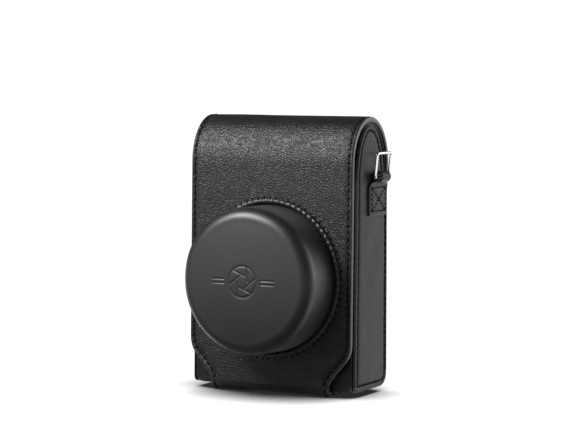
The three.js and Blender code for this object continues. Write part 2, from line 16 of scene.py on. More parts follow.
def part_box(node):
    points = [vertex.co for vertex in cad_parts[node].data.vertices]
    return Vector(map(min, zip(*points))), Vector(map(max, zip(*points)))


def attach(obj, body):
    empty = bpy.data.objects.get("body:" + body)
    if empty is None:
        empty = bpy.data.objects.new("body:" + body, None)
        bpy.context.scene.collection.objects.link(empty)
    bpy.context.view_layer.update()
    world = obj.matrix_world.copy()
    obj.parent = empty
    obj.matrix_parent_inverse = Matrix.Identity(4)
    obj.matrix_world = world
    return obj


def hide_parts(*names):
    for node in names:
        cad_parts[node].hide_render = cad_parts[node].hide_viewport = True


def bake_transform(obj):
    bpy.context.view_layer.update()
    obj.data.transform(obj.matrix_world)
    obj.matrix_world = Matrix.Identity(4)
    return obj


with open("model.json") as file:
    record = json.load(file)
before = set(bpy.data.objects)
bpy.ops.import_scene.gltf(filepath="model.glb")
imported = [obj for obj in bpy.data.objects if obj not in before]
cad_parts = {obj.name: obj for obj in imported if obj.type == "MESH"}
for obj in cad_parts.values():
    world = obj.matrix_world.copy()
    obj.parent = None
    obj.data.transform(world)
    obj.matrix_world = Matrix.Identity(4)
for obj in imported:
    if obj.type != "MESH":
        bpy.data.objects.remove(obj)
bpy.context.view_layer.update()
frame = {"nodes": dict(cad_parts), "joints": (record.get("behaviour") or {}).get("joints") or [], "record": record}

MM = 0.001


# ---------------------------------------------------------------- sizes, from the frame

def corners(node):
    low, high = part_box(node)
    return np.array(low) / MM, np.array(high) / MM


def joint(name):
    return next(j for j in frame["joints"] if j["name"] == name)


flap_low, flap_high = corners("flap_leather")
gusset_high = corners("gusset_right")[1]
back_high = corners("back_panel")[1]
base_low = corners("base_panel")[0]
tongue_high = corners("tongue_leather")[1]
lip_low, lip_high = corners("front_lip")
rail_low, rail_high = corners("front_rail_right")
rim_low, rim_high = corners("cup_rim")
cup_low = corners("lens_cup")[0]
snap_low, snap_high = corners("snap_cap")
tab_low, tab_high = corners("ring_tab_right")
belt_low, belt_high = corners("belt_loop")
hinge_axis = np.array(joint("flap_hinge")["pos_m"]) / MM
fold_axis = np.array(joint("tongue_bend")["pos_m"]) / MM
ring_axis = np.array(joint("ring_right_swivel")["pos_m"]) / MM

FRONT = flap_low[1]              # of the flap's lower end, where the lean begins
BACK = back_high[1]
REAR = flap_high[1]              # the flap's arch stands out a little behind the back
TOP = flap_high[2]
FLAP_HALF = flap_high[0]
FLAP_BOTTOM = flap_low[2]
FLAP_BACK_Z = hinge_axis[2] + 2.0
ARCH_Z = hinge_axis[2] + 7.5     # widest level of the flap's arch
GUSSET_ARCH_Z = 96.0
LEAN = 2.3                       # how far the front leans back between its bottom and the arch
SLOPE = LEAN / (ARCH_Z - FLAP_BOTTOM)
OUTER = gusset_high[0]
CUP_Z = (rim_low[2] + rim_high[2]) / 2
CUP_DEPTH = FRONT + SLOPE * (CUP_Z - FLAP_BOTTOM) - cup_low[1]
RIM_R = rim_high[0]
NECK_HALF = 30.2                 # a little narrower than the CAD solid
FOLD_R = fold_axis[2]

LEATHER = 1.2
FLAP_EDGE = 2.35                 # the flap's rolled edge covers its board
PITCH = 3.1                      # stitch pitch
STITCH = 2.15                    # thread showing between two holes
THREAD_R = 0.28
PAINT = 0.3                      # width of the glossy paint that runs over an edge
FLAP_SEAM = 1.9                  # seam's distance from the flap's edge
GUSSET_SEAM = 2.6


# ---------------------------------------------------------------- camera, light and floor

def add_camera():
    """Long lens, a little above the middle of the case and 28.6 degrees round to its right side."""
    azimuth = math.radians(28.56)
    elevation = math.radians(4.33)
    distance = 1.0352
    aim = Vector((-0.00122, (BACK - 15.66) * MM, 0.07959))
    away = Vector((math.sin(azimuth) * math.cos(elevation),
                   -math.cos(azimuth) * math.cos(elevation),
                   math.sin(elevation)))
    data = bpy.data.cameras.new("camera")
    data.sensor_width = 36
    data.lens = 140.7
    camera = bpy.data.objects.new("camera", data)
    camera.location = aim + away * distance
    camera.rotation_euler = (-away).to_track_quat("-Z", "Y").to_euler()
    bpy.context.scene.collection.objects.link(camera)
    bpy.context.scene.camera = camera


def add_key():
    """Soft light near the case, in front of it, to the left and above."""
    data = bpy.data.lights.new("key", "AREA")
    data.energy = 6.0
    data.color = (0.98, 0.99, 1.0)
    data.shape = "RECTANGLE"
    data.size, data.size_y = 0.30, 0.24
    light = bpy.data.objects.new("key", data)
    light.location = (-0.27, -0.37, 0.46)
    aim = Vector((0, 0, 0.08)) - light.location
    light.rotation_euler = aim.to_track_quat("-Z", "Y").to_euler()
    light.visible_camera = False
    bpy.context.scene.collection.objects.link(light)


FLOOR = 1.12                     # brightness of the table
SHADE_REACH = 0.032              # in metres
SHADE_RANGE = (0.32, 0.86)       # openness above a spot where it is darkest, and where it is white


def white_floor():
    """Glowing white table with a painted contact shadow: its glow is dimmed by ambient occlusion where the case
    stands within SHADE_REACH over it.
    """
    bpy.ops.mesh.primitive_plane_add(size=60)
    floor = bpy.context.object
    floor.name = "floor"
    material = bpy.data.materials.new("floor")
    material.use_nodes = True
    tree = material.node_tree
    tree.nodes.clear()
    near = tree.nodes.new("ShaderNodeAmbientOcclusion")
    near.samples = 16
    near.inputs["Distance"].default_value = SHADE_REACH
    glow = tree.nodes.new("ShaderNodeEmission")
    out = tree.nodes.new("ShaderNodeOutputMaterial")
    # painted contact shadow: the glow's strength falls with the ambient occlusion near the case
    strength = ramp_between(tree, near.outputs["AO"], 0.02, 1.0, *SHADE_RANGE)
    tree.links.new(strength, glow.inputs["Strength"])
    glow.inputs["Color"].default_value = (FLOOR,) * 3 + (1,)
    tree.links.new(glow.outputs[0], out.inputs["Surface"])
    floor.data.materials.append(material)


def dark_card():
    """Black card lying in front of the case, seen only in reflections."""
    bpy.ops.mesh.primitive_plane_add(size=1)
    card = bpy.context.object
    card.name = "dark_card"
    card.scale = (1.2, 0.22, 1)
    card.location = (-0.1, FRONT * MM - 0.115, 0.0004)
    card.visible_camera = False
    card.visible_shadow = False
    material = node_material("dark_card", Base_Color=(0.05, 0.05, 0.05, 1), Roughness=0.9)[0]
    card.data.materials.append(material)


WALL = 2.1                       # brightness of the wall behind the case
WALL_SIDE = (0.70, 0.71, 0.05)   # direction of its middle
WALL_TOP = 0.45                  # its height, as the sine of an elevation
STRIP = 3.0                      # brightness that a strip on the wall adds
STRIP_SIDE = (0.787, 0.614, 0.05)
GLOW = 1.25                      # brightness of a soft pale area in front and to the left
GLOW_SIDE = (-0.50, -0.86, 0.10)
ROOM = 0.03                      # brightness of the dim room
BACKDROP = 1.6                   # what the camera sees


def studio_world():
    """White to the camera; the case is lit by a white wall behind it and a dim room in front."""
    world = bpy.data.worlds.new("studio")
    bpy.context.scene.world = world
    world.use_nodes = True
    tree = world.node_tree
    tree.nodes.clear()
    coords = tree.nodes.new("ShaderNodeTexCoord")
    split = tree.nodes.new("ShaderNodeSeparateXYZ")
    tree.links.new(coords.outputs["Generated"], split.inputs[0])

    def glow_from(direction, edge, full, strength):
        """strength where the dot product with direction is over full, fading to 0 at edge."""
        node = tree.nodes.new("ShaderNodeVectorMath")
        node.operation = "DOT_PRODUCT"
        tree.links.new(coords.outputs["Generated"], node.inputs[0])
        node.inputs[1].default_value = direction
        return ramp_between(tree, node.outputs["Value"], 0, strength, edge, full, "SMOOTHSTEP")

    room = math_node(tree, "ADD", glow_from(GLOW_SIDE, 0.75, 0.98, GLOW), ROOM)
    height = ramp_between(tree, split.outputs["Z"], 1, 0, WALL_TOP, WALL_TOP + 0.25, "SMOOTHSTEP")
    wall = math_node(tree, "MULTIPLY", glow_from(WALL_SIDE, 0.60, 0.95, WALL), height)
    wall = math_node(tree, "ADD", wall, glow_from(STRIP_SIDE, 0.965, 0.995, STRIP))
    total = math_node(tree, "ADD", wall, room)
    path = tree.nodes.new("ShaderNodeLightPath")
    choose = tree.nodes.new("ShaderNodeMix")
    tree.links.new(path.outputs["Is Camera Ray"], choose.inputs["Factor"])
    tree.links.new(total, choose.inputs["A"])
    choose.inputs["B"].default_value = BACKDROP
    background = tree.nodes.new("ShaderNodeBackground")
    tree.links.new(choose.outputs["Result"], background.inputs["Strength"])
    out = tree.nodes.new("ShaderNodeOutputWorld")
    tree.links.new(background.outputs[0], out.inputs["Surface"])


def add_studio():
    bpy.context.scene.view_settings.view_transform = "Standard"
    studio_world()
    white_floor()
    dark_card()
    add_key()


# ---------------------------------------------------------------- materials

def node_material(name, **values):
    """(material, tree, shader), with values for the shader's inputs."""
    material = bpy.data.materials.new(name)
    material.use_nodes = True
    tree = material.node_tree
    shader = tree.nodes["Principled BSDF"]
    for key, value in values.items():
        shader.inputs[key.replace("_", " ")].default_value = value
    return material, tree, shader


def add_node(tree, kind, **values):
    node = tree.nodes.new(kind)
    for key, value in values.items():
        if hasattr(node, key):
            setattr(node, key, value)
        else:
            node.inputs[key.replace("_", " ")].default_value = value
    return node


def math_node(tree, operation, a, b):
    node = tree.nodes.new("ShaderNodeMath")
    node.operation = operation
    for socket, value in zip(node.inputs, (a, b)):
        if isinstance(value, (int, float)):
            socket.default_value = value
        else:
            tree.links.new(value, socket)
    return node.outputs[0]


def ramp_between(tree, value, low, high, from_low=0.0, from_high=1.0, kind="LINEAR"):
    node = add_node(tree, "ShaderNodeMapRange", interpolation_type=kind, From_Min=from_low,
                    From_Max=from_high, To_Min=low, To_Max=high)
    tree.links.new(value, node.inputs["Value"])
    return node.outputs["Result"]


add_camera()
add_studio()


def object_coords(tree, warp_mm=0.0, warp_size_mm=4.0):
    """Object coordinates in metres, bent a little by noise so that no pattern looks ruled."""
    coords = tree.nodes.new("ShaderNodeTexCoord").outputs["Object"]
    if not warp_mm:
        return coords
    noise = add_node(tree, "ShaderNodeTexNoise", Scale=1000 / warp_size_mm, Detail=2.0)
    tree.links.new(coords, noise.inputs["Vector"])
    scaled = tree.nodes.new("ShaderNodeVectorMath")
    scaled.operation = "MULTIPLY_ADD"
    tree.links.new(noise.outputs["Color"], scaled.inputs[0])
    scaled.inputs[1].default_value = (warp_mm * MM,) * 3
    tree.links.new(coords, scaled.inputs[2])
    return scaled.outputs[0]


def noise_at(tree, coords, size_mm, detail=3.0, roughness=0.55):
    node = add_node(tree, "ShaderNodeTexNoise", Scale=1000 / size_mm, Detail=detail, Roughness=roughness)
    tree.links.new(coords, node.inputs["Vector"])
    return node.outputs["Fac"]


def set_bump(tree, shader, height, strength, depth_mm):
    bump = add_node(tree, "ShaderNodeBump", Strength=strength, Distance=depth_mm * MM)
    tree.links.new(height, bump.inputs["Height"])
    tree.links.new(bump.outputs["Normal"], shader.inputs["Normal"])


def set_mottled(tree, shader, factor, color, darkest, palest):
    """Base colour that wanders between two shares of color."""
    mix = tree.nodes.new("ShaderNodeMix")
    mix.data_type = "RGBA"
    tree.links.new(factor, mix.inputs["Factor"])
    mix.inputs["A"].default_value = (*[c * darkest for c in color], 1)
    mix.inputs["B"].default_value = (*[c * palest for c in color], 1)
    tree.links.new(mix.outputs["Result"], shader.inputs["Base Color"])


def leather(name, color, roughness, grain_mm, grain_depth, pore_depth, wave_depth, shine, coat=0.0):
    """Dyed black leather: pebbles parted by creases, fine pores, and slow waves in its surface."""
    material, tree, shader = node_material(
        name, Specular_IOR_Level=shine, Coat_Weight=coat, Coat_Roughness=0.40,
        Sheen_Weight=0.06, Sheen_Roughness=0.4)
    coords = object_coords(tree, grain_mm * 0.8, grain_mm * 3.2)
    cells = add_node(tree, "ShaderNodeTexVoronoi", feature="DISTANCE_TO_EDGE", Scale=1000 / grain_mm)
    tree.links.new(coords, cells.inputs["Vector"])
    pebble = ramp_between(tree, cells.outputs["Distance"], 0.0, 1.0, 0.0, 0.38)
    pores = noise_at(tree, coords, 0.35, 2.0)
    waves = noise_at(tree, coords, 9.0, 3.0)
    height = math_node(tree, "MULTIPLY", pebble, grain_depth)
    height = math_node(tree, "ADD", height, math_node(tree, "MULTIPLY", pores, pore_depth))
    height = math_node(tree, "ADD", height, math_node(tree, "MULTIPLY", waves, wave_depth))
    set_bump(tree, shader, height, 1.0, 1.0)
    set_mottled(tree, shader, noise_at(tree, coords, 14.0, 4.0), color, 0.8, 1.25)
    wear = noise_at(tree, coords, 6.0, 4.0)
    rough = ramp_between(tree, wear, roughness - 0.05, roughness + 0.05, 0.3, 0.7)
    rough = math_node(tree, "ADD", rough, math_node(tree, "MULTIPLY", pebble, -0.06))
    tree.links.new(rough, shader.inputs["Roughness"])
    return material


def cloth(name, color, fibre_mm, depth):
    """Short-napped lining cloth."""
    material, tree, shader = node_material(name, Roughness=0.92, Sheen_Weight=0.35, Sheen_Roughness=0.5)
    coords = object_coords(tree, 0.3, 2.0)
    set_bump(tree, shader, noise_at(tree, coords, fibre_mm, 5.0, 0.7), 0.8, depth)
    set_mottled(tree, shader, noise_at(tree, coords, 5.0, 3.0), color, 0.7, 1.3)
    return material


def twisted_thread(name, color):
    """Waxed thread with the twist of its plies."""
    material, tree, shader = node_material(name, Base_Color=(*color, 1), Roughness=0.7,
                                           Specular_IOR_Level=0.1)
    coords = object_coords(tree)
    wave = add_node(tree, "ShaderNodeTexWave", Scale=900.0, Distortion=1.5)
    wave.bands_direction = "DIAGONAL"
    tree.links.new(coords, wave.inputs["Vector"])
    set_bump(tree, shader, wave.outputs["Fac"], 0.6, 0.08)
    return material


def plated_metal(name, color, roughness):
    """Bright plate with faint polishing marks."""
    material, tree, shader = node_material(name, Base_Color=(*color, 1), Metallic=1.0)
    coords = object_coords(tree)
    marks = noise_at(tree, coords, 1.2, 6.0, 0.7)
    rough = ramp_between(tree, marks, roughness * 0.7, roughness * 1.5, 0.3, 0.7)
    tree.links.new(rough, shader.inputs["Roughness"])
    set_bump(tree, shader, marks, 0.3, 0.01)
    return material


def pressed_board(name, color):
    """Grey-brown stiffener board with its fibres."""
    material, tree, shader = node_material(name, Roughness=0.9)
    coords = object_coords(tree)
    fibres = noise_at(tree, coords, 0.8, 6.0, 0.7)
    set_mottled(tree, shader, fibres, color, 0.7, 1.2)
    set_bump(tree, shader, fibres, 0.5, 0.05)
    return material


MATERIALS = {
    "grain_leather": leather("grain_leather", (0.007, 0.007, 0.0078), 0.42, 1.0, 0.12, 0.04, 0.12, 0.38),
    "smooth_leather": leather("smooth_leather", (0.010, 0.010, 0.011), 0.42, 0.7, 0.012, 0.02, 0.10, 0.2),
    "cup_leather": leather("cup_leather", (0.006, 0.006, 0.0065), 0.5, 0.8, 0.010, 0.012, 0.06, 0.25, 0.7),
    "edge_paint": leather("edge_paint", (0.008, 0.008, 0.0085), 0.34, 0.9, 0.006, 0.008, 0.03, 0.6, 0.35),
    "lining": cloth("lining", (0.05, 0.048, 0.05), 0.4, 0.15),
    "thread": twisted_thread("thread", (0.005, 0.005, 0.0055)),
    "polished_steel": plated_metal("polished_steel", (0.86, 0.86, 0.87), 0.12),
    "nickel": plated_metal("nickel", (0.62, 0.61, 0.6), 0.3),
    "board": pressed_board("board", (0.3, 0.27, 0.23)),
}


# ---------------------------------------------------------------- mesh helpers

def leaned(verts):
    """Lean points with the case's front; what stands out there points up by the same angle."""
    y, z = verts[:, 1], verts[:, 2]
    share = np.clip((BACK - y) / (BACK - FRONT), 0, 1)
    climb = np.clip(z - FLAP_BOTTOM, 0, ARCH_Z - FLAP_BOTTOM)
    raised = z + SLOPE * np.clip(FRONT - y, 0, None)
    return np.stack([verts[:, 0], y + SLOPE * share * climb, raised], 1)


def make_object(name, verts, faces, slot, body, replaces=(), lean=True, painted=None):
    """A mesh in millimetres as a piece that rides on body and replaces CAD nodes."""
    verts = np.asarray(verts, float)
    if lean:
        verts = leaned(verts)
    mesh = bpy.data.meshes.new(name)
    corners_of = [tuple(int(i) for i in face) for face in faces]
    mesh.from_pydata([tuple(v) for v in verts * MM], [], corners_of)
    work = bmesh.new()
    work.from_mesh(mesh)
    bmesh.ops.recalc_face_normals(work, faces=work.faces)
    work.to_mesh(mesh)
    work.free()
    mesh.polygons.foreach_set("use_smooth", [True] * len(mesh.polygons))
    mesh.set_sharp_from_angle(angle=math.radians(55))
    mesh.materials.append(MATERIALS[slot])
    if painted is not None:
        mesh.materials.append(MATERIALS["edge_paint"])
        mesh.polygons.foreach_set("material_index", np.array(painted, dtype=np.int32))
    piece = bpy.data.objects.new(name, mesh)
    bpy.context.scene.collection.objects.link(piece)
    if body:
        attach(piece, body)
    if replaces:
        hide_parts(*replaces)
    return piece


def joined(parts):
    """Several (verts, faces) as one."""
    verts, faces, start = [], [], 0
    for part_verts, part_faces in parts:
        verts.append(np.asarray(part_verts))
        faces.extend([[i + start for i in face] for face in part_faces])
        start += len(part_verts)
    return np.vstack(verts), faces


def grid_faces(rows, n, closed=False):
    """Quads between rows of n points, each row a loop; closed joins the last row to the first."""
    following = [(i + 1) % rows for i in range(rows if closed else rows - 1)]
    return [[i * n + j, i * n + (j + 1) % n, k * n + (j + 1) % n, k * n + j]
            for i, k in enumerate(following) for j in range(n)]


def strand(rings):
    """(verts, faces) of a capped tube from its rings of points."""
    rows, n = rings.shape[:2]
    caps = [list(range(n))[::-1], [(rows - 1) * n + j for j in range(n)]]
    return rings.reshape(-1, 3), grid_faces(rows, n) + caps


def lengths_along(line):
    steps = np.linalg.norm(np.diff(line, axis=0), axis=1)
    return np.concatenate([[0], np.cumsum(steps)])


def unit_rows(vectors):
    return vectors / np.linalg.norm(vectors, axis=1)[:, None]


def bent_strip(line):
    """A strip seen from its side: its length, and a function of (v, h) that gives the two coordinates."""
    s, along = lengths_along(line), unit_rows(np.gradient(line, axis=0))

    def at(v, h):
        return (np.interp(v, s, line[:, 0]) + h * np.interp(v, s, along[:, 1]),
                np.interp(v, s, line[:, 1]) + h * -np.interp(v, s, along[:, 0]))
    return s[-1], at


def bezier(p0, p1, p2, steps):
    t = np.linspace(0, 1, steps + 1)[:, None]
    return (1 - t) ** 2 * np.array(p0) + 2 * t * (1 - t) * np.array(p1) + t ** 2 * np.array(p2)


def arc(centre, rx, ry, a0, a1, steps):
    t = np.radians(np.linspace(a0, a1, steps + 1))
    return np.stack([centre[0] + rx * np.cos(t), centre[1] + ry * np.sin(t)], 1)


def subdivide(line, step, closed=True):
    """The same outline with a point at least every step."""
    line = np.asarray(line, float)
    ends = np.roll(line, -1, 0) if closed else line[1:]
    out = []
    for a, b in zip(line, ends):
        n = max(1, int(math.ceil(np.linalg.norm(b - a) / step)))
        if np.linalg.norm(b - a) > 1e-6:
            out.extend(a + (b - a) * k / n for k in range(n))
    if not closed:
        out.append(line[-1])
    return np.array(out)


def rounded(points, radius, steps=5):
    """A closed outline whose corners are rounded."""
    points = np.asarray(points, float)
    out = []
    for i, p in enumerate(points):
        before, after = points[i - 1] - p, points[(i + 1) % len(points)] - p
        r = radius[i] if isinstance(radius, (list, tuple)) else radius
        if r <= 0:
            out.append(p[None])
            continue
        a = p + before / np.linalg.norm(before) * r
        b = p + after / np.linalg.norm(after) * r
        out.append(bezier(a, p, b, steps))
    return np.vstack(out)


def distance_to_lines(points, starts, ends):
    """Distance from each point to the nearest of the segments."""
    best = np.full(len(points), np.inf)
    along = ends - starts
    length2 = np.maximum((along ** 2).sum(1), 1e-12)
    for i in range(0, len(points), 1500):
        p = points[i:i + 1500, None] - starts[None]
        t = np.clip((p * along[None]).sum(2) / length2[None], 0, 1)
        gap = p - t[..., None] * along[None]
        best[i:i + 1500] = np.sqrt((gap ** 2).sum(2)).min(1)
    return best


def inside(points, loop):
    """Even-odd test of points against a closed loop."""
    a, b = loop, np.roll(loop, -1, 0)
    result = np.zeros(len(points), bool)
    for i in range(0, len(points), 1500):
        x, y = points[i:i + 1500, 0, None], points[i:i + 1500, 1, None]
        crosses = (a[None, :, 1] > y) != (b[None, :, 1] > y)
        rise = b[None, :, 1] - a[None, :, 1]
        rise = np.where(np.abs(rise) < 1e-12, 1e-12, rise)
        at = a[None, :, 0] + (y - a[None, :, 1]) / rise * (b[None, :, 0] - a[None, :, 0])
        result[i:i + 1500] = (crosses & (x < at)).sum(1) % 2 == 1
    return result


def in_sheet(points, loops):
    """Inside the first loop and outside the others."""
    ok = inside(points, loops[0])
    for hole in loops[1:]:
        ok &= ~inside(points, hole)
    return ok


def inward_normals(loop):
    """Unit normals of a closed loop that point to its left."""
    along = np.roll(loop, -1, 0) - np.roll(loop, 1, 0)
    normal = np.stack([-along[:, 1], along[:, 0]], 1)
    return normal / np.maximum(np.linalg.norm(normal, axis=1), 1e-9)[:, None]


# ---------------------------------------------------------------- seams

class Seam:
    """A row of stitches along a line in the flat pattern."""

    def __init__(self, line, pitch=PITCH, closed=False, stitch=STITCH, groove=0.32, hole=0.42):
        line = np.asarray(line, float)
        if closed:
            line = np.vstack([line, line[:1]])
        self.line = subdivide(line, 0.5, closed=False)
        self.length = lengths_along(self.line)
        total = self.length[-1]
        count = max(1, int(round(total / pitch)))
        self.pitch = total / count
        self.stitch = stitch * self.pitch / pitch
        starts = (np.arange(count) + 0.5) * self.pitch - self.stitch / 2
        self.spans = [(s, s + self.stitch) for s in starts]
        self.groove = groove
        self.hole = hole

    def at(self, s):
        return np.stack([np.interp(s, self.length, self.line[:, k]) for k in (0, 1)], -1)

    def holes(self):
        return np.vstack([self.at(np.array(span)) for span in self.spans])

    def dent(self, points):
        """How deep the leather is pulled in at each point."""
        near = distance_to_lines(points, self.line[:-1], self.line[1:])
        holes = distance_to_lines(points, self.holes(), self.holes())
        return self.groove * np.exp(-(near / 0.75) ** 2) + self.hole * np.exp(-(holes / 0.5) ** 2)

    def samples(self):
        """Extra pattern points, so that the dents have something to bend."""
        side = inward_normals(self.line)
        side[0], side[-1] = side[1], side[-2]
        return np.vstack([self.line + side * k for k in (-1.0, -0.5, 0.0, 0.5, 1.0)])


def sew(name, body, nodes, seams, place, level, radius=THREAD_R, rise=0.16, lean=True):
    """Thread for every stitch of the seams, each one a bowed strand that dives into its holes."""
    parts = []
    t = np.linspace(0, 1, 8)
    sides = np.linspace(0, 2 * math.pi, 8, endpoint=False)
    for seam in seams:
        for a, b in seam.spans:
            flat = seam.at(a + (b - a) * t)
            height = level + rise * np.sin(math.pi * t) ** 0.7 - 0.42 * (np.abs(2 * t - 1) ** 5)
            centre = place(flat[:, 0], flat[:, 1], height)
            lifted = place(flat[:, 0], flat[:, 1], height + 0.1)
            up = unit_rows(lifted - centre)
            along = unit_rows(np.gradient(centre, axis=0))
            side = np.cross(along, up)
            width = radius * (1 - 0.35 * np.abs(2 * t - 1) ** 4)
            rings = centre[:, None] + width[:, None, None] * (
                np.cos(sides)[None, :, None] * up[:, None] * 0.85
                + np.sin(sides)[None, :, None] * side[:, None])
            parts.append(strand(rings))
    return make_object(name, *joined(parts), "thread", body, nodes, lean)


# ---------------------------------------------------------------- sheets

def rolled(distance, radius):
    """Height lost towards a rounded edge."""
    d = np.clip(distance, 0, radius)
    return radius - np.sqrt(np.maximum(radius ** 2 - (radius - d) ** 2, 0))


def sheet(outer, place, top, under, holes=(), seams=(), edge_step=0.9, fill=2.2, bulge=0.12, joins=()):
    """A closed sheet of leather as (verts, faces, painted), from its flat outline.

    place(u, v, h) lays the pattern down; top(points, d) and under(points, d) give the heights of its
    two faces, where d is the distance from the nearest free edge. An edge that lies along v in joins
    meets the next piece of the same leather. painted marks the faces with edge paint.
    """
    rings = (0.1, 0.25, 0.45, 0.7, 1.0, 1.5)
    loops = [subdivide(loop, edge_step) for loop in (outer, *holes)]
    turned = []
    for k, loop in enumerate(loops):
        area = (loop[:, 0] * np.roll(loop[:, 1], -1) - np.roll(loop[:, 0], -1) * loop[:, 1]).sum()
        turned.append(loop[::-1] if (area < 0) == (k == 0) else loop)
    loops = turned
    starts = np.vstack(loops)
    ends = np.vstack([np.roll(loop, -1, 0) for loop in loops])

    free = [loop + inward_normals(loop) * r for loop in loops for r in rings]
    free += [seam.samples() for seam in seams]
    free = np.vstack(free)
    low, high = starts.min(0), starts.max(0)
    rows = np.arange(low[1], high[1], fill * 0.87)
    grid = np.vstack([
        np.arange(low[0] + (k % 2) * fill / 2, high[0], fill)[:, None] * [1.0, 0.0] + [0.0, v]
        for k, v in enumerate(rows)])
    grid = grid[distance_to_lines(grid, starts, ends) > rings[-1] + fill * 0.4]
    if seams:
        lines = np.vstack([np.hstack([seam.line[:-1], seam.line[1:]]) for seam in seams])
        grid = grid[distance_to_lines(grid, lines[:, :2], lines[:, 2:]) > 1.0 + fill * 0.4]
    free = np.vstack([free, grid])
    free = free[in_sheet(free, loops)]
    free = free[distance_to_lines(free, starts, ends) > rings[0] * 0.8]

    points = [Vector(p) for p in np.vstack([starts, free])]
    edges, base = [], 0
    for loop in loops:
        n = len(loop)
        edges += [(base + i, base + (i + 1) % n) for i in range(n)]
        base += n
    flat, _, faces, *_ = delaunay_2d_cdt(points, edges, [], 0, 1e-5)
    flat = np.array([tuple(p) for p in flat])
    faces = np.array([f for f in faces if len(f) == 3])
    faces = faces[in_sheet(flat[faces].mean(1), loops)]
    used = np.unique(faces)
    index = np.full(len(flat), -1)
    index[used] = np.arange(len(used))
    flat, faces = flat[used], index[faces]

    joined_edge = np.zeros(len(starts), bool)
    for v in joins:
        joined_edge |= (np.abs(starts[:, 1] - v) < 1e-6) & (np.abs(ends[:, 1] - v) < 1e-6)
    d = distance_to_lines(flat, starts[~joined_edge], ends[~joined_edge])
    up, down = top(flat, d), under(flat, d)
    upper = place(flat[:, 0], flat[:, 1], up)
    lower = place(flat[:, 0], flat[:, 1], -down)
    n = len(flat)
    all_faces = [list(f) for f in faces] + [[f[0] + n, f[2] + n, f[1] + n] for f in faces]
    painted = list(d[faces].max(1) < PAINT) * 2

    counted = {}
    for a, b, c in faces:
        for edge in ((a, b), (b, c), (c, a)):
            counted[edge] = counted.get(edge, 0) + 1
    rim = [edge for edge in counted if (edge[1], edge[0]) not in counted]
    out = {}
    for a, b in rim:
        along = flat[b] - flat[a]
        normal = np.array([along[1], -along[0]]) / max(np.linalg.norm(along), 1e-9)
        out[a] = out.get(a, 0) + normal
        out[b] = out.get(b, 0) + normal
    order = sorted(out)
    where = {v: k for k, v in enumerate(order)}
    normals = np.array([out[v] / max(np.linalg.norm(out[v]), 1e-9) for v in order])
    layers, extra = [order], []
    for t in (0.25, 0.5, 0.75):
        push = bulge * math.sin(math.pi * t)
        spot = flat[order] + normals * push
        height = up[order] * (1 - t) - down[order] * t
        layers.append([2 * n + len(extra) * len(order) + k for k in range(len(order))])
        extra.append(place(spot[:, 0], spot[:, 1], height))
    layers.append([v + n for v in order])
    for upper_row, lower_row in zip(layers, layers[1:]):
        all_faces += [[upper_row[where[b]], upper_row[where[a]], lower_row[where[a]], lower_row[where[b]]]
                      for a, b in rim]
    painted += [True] * (len(all_faces) - len(painted))
    return np.vstack([upper, lower, *extra]), all_faces, painted


def make_cover(name, slot, body, nodes, outline, place, top, under, lean=True, **how):
    verts, faces, painted = sheet(outline, place, top, under, **how)
    return make_object(name, verts, faces, slot, body, nodes, lean, painted)


def soft_waves(points, size, depth, seed):
    """Slow unevenness of hand-worked leather."""
    u, v = points[:, 0] / size, points[:, 1] / size
    total = np.zeros(len(points))
    for k in range(1, 4):
        total += np.sin(u * k * 1.7 + seed * k + 1.3 * np.sin(v * k + seed)) * \
            np.sin(v * k * 1.3 - seed + 1.1 * np.cos(u * k)) / k
    return depth * total


# ---------------------------------------------------------------- the flap's leather

def flap_profile():
    """Side view of the flap's outer face: length, y, z and outward normal, from the fold up and over."""
    rise = np.linspace(FLAP_BOTTOM, ARCH_Z, 120)
    centre, a, b = (FRONT + REAR) / 2, (REAR - FRONT) / 2, TOP - ARCH_Z
    turn = np.linspace(0, math.pi + math.asin((ARCH_Z - FLAP_BACK_Z) / b), 500)[1:]
    y = np.concatenate([np.full_like(rise, FRONT), centre - a * np.cos(turn)])
    z = np.concatenate([rise, ARCH_Z + b * np.sin(turn)])
    ny = np.concatenate([np.full_like(rise, -1.0), -np.cos(turn) / a])
    nz = np.concatenate([np.zeros_like(rise), np.sin(turn) / b])
    size = np.hypot(ny, nz)
    s = np.concatenate([[0], np.cumsum(np.hypot(np.diff(y), np.diff(z)))])
    return s, y, z, ny / size, nz / size


PATH = flap_profile()
PATH_END = PATH[0][-1]
HINGE_OUT = PATH[1][-1] - BACK    # how far behind the back the flap begins
BACK_BEND_Z = FLAP_BACK_Z - 9


def back_curve(z):
    """The back's leather swings out towards the flap at its top."""
    return HINGE_OUT * np.clip((z - BACK_BEND_Z) / (FLAP_BACK_Z - BACK_BEND_Z), 0, 1) ** 1.5


def on_flap(u, v, h):
    s, y, z, ny, nz = PATH
    return np.stack([u, np.interp(v, s, y) + h * np.interp(v, s, ny),
                     np.interp(v, s, z) + h * np.interp(v, s, nz)], -1)


HEEL = ((0, 3.5), (0, 6.4), (2.8, 9.7))             # bend out from the neck, and its height
SHOULDER = ((-2.2, 17), (0, 20), (0, 24.5))         # bend up into the flap's straight side


def flap_side(inset, top):
    """Right-hand edge of the flap in its pattern, from the fold upwards."""
    side, neck, rise = FLAP_HALF - inset, NECK_HALF - inset, inset * 0.6 - FLAP_BOTTOM
    heel = bezier(*[(neck + out, up + rise) for out, up in HEEL], 12)
    shoulder = bezier(*[(side + out, up + rise) for out, up in SHOULDER], 12)
    return np.vstack([[[neck, 0.0]], heel[heel[:, 1] > 0.3], shoulder, [[side, top]]])


def mirrored(line):
    return np.stack([-line[:, 0], line[:, 1]], 1)[::-1]


CUP_HOLE_R = 33.6
CUP_BOARD_R = 37.5               # the flap's board is cut away round the cup

